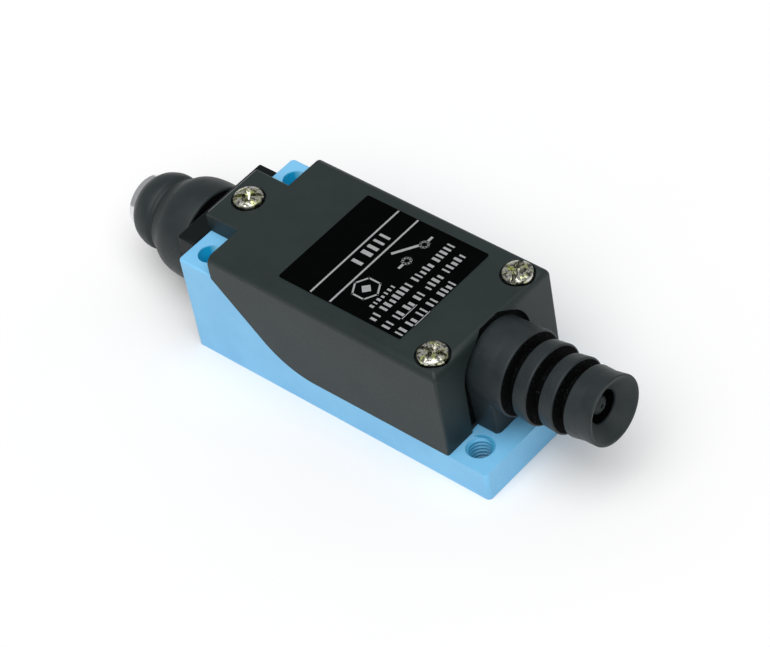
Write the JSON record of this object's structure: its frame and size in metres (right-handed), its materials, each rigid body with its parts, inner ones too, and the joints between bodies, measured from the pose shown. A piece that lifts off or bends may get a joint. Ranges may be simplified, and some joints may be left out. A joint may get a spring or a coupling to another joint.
{
  "type": "plunger limit switch",
  "caption": "Compact boxed limit switch with a sealed push plunger at one end and a rubber cable boot at the other.",
  "frame": {"origin": "centre of the mounting face, the flat underside of the base housing", "axes": "+X towards the plunger, +Z out of the cover and its label, +Y completes a right-handed frame and lies across the body's width"},
  "size_m": [0.1092, 0.03, 0.0259],
  "materials": {
    "blue_enamel": "semi-gloss light blue paint on die-cast metal",
    "cover_plastic": "fine-grained black moulding",
    "guide_black": "black painted metal, fine-grained",
    "label_film": "black printed film",
    "yellow_zinc": "yellow zinc-plated steel",
    "black_rubber": "smooth moulded rubber",
    "seal_rubber": "soft seal rubber",
    "plunger_chrome": "polished",
    "bush_brass": "plain sintered bush",
    "spring_steel": "drawn wire",
    "switch_resin": "dark phenolic moulding",
    "slider_resin": "off-white sliding plastic",
    "terminal_brass": "stamped strip",
    "contact_silver": "silver contact alloy",
    "steel_zinc": "bright zinc-plated steel"
  },
  "bodies": {
    "housing": {"base_housing": "blue_enamel", "front_cover": "cover_plastic", "cover_gasket": "seal_rubber", "cover_screws": "yellow_zinc", "rating_label": "label_film", "plunger_guide": "guide_black", "guide_bush": "bush_brass", "guide_o_ring": "seal_rubber", "plunger_boot": "black_rubber", "return_spring": "spring_steel", "reset_spring": "spring_steel", "switch_case": "switch_resin", "case_bottom_plate": "switch_resin", "fixed_contact_tips": "contact_silver", "terminal_closed_left": "terminal_brass", "terminal_closed_right": "terminal_brass", "terminal_open_left": "terminal_brass", "terminal_open_right": "terminal_brass", "terminal_clamps": "terminal_brass", "terminal_screws": "steel_zinc", "switch_block_screws": "steel_zinc", "earth_screw": "steel_zinc", "cable_boot": "black_rubber"},
    "plunger_body": {"plunger": "plunger_chrome", "retaining_clip": "spring_steel", "overtravel_spring": "spring_steel"},
    "pusher_body": {"pusher": "slider_resin", "drive_spring": "spring_steel"},
    "carrier_body": {"contact_carrier": "slider_resin", "contact_bridge": "terminal_brass", "bridge_contact_tips": "contact_silver"}
  },
  "joints": [
    {"name": "plunger_slide", "type": "slide", "parent": "housing", "child": "plunger_body", "axis": [-1, 0, 0], "range_m": [0, 0.005], "stiffness_N_per_m": 900, "springref_m": -0.003, "deforming": ["plunger_boot", "return_spring"]},
    {"name": "pusher_slide", "type": "slide", "parent": "housing", "child": "pusher_body", "axis": [-1, 0, 0], "range_m": [0, 0.002], "deforming": ["overtravel_spring"]},
    {"name": "carrier_slide", "type": "slide", "parent": "housing", "child": "carrier_body", "axis": [-1, 0, 0], "range_m": [0, 0.0012], "deforming": ["drive_spring", "reset_spring"]}
  ],
  "couplings": [
    {"joint": "pusher_slide", "follows": "plunger_slide", "ratio": 0.4},
    {"joint": "carrier_slide", "follows": "plunger_slide", "ratio": 0.24}
  ]
}
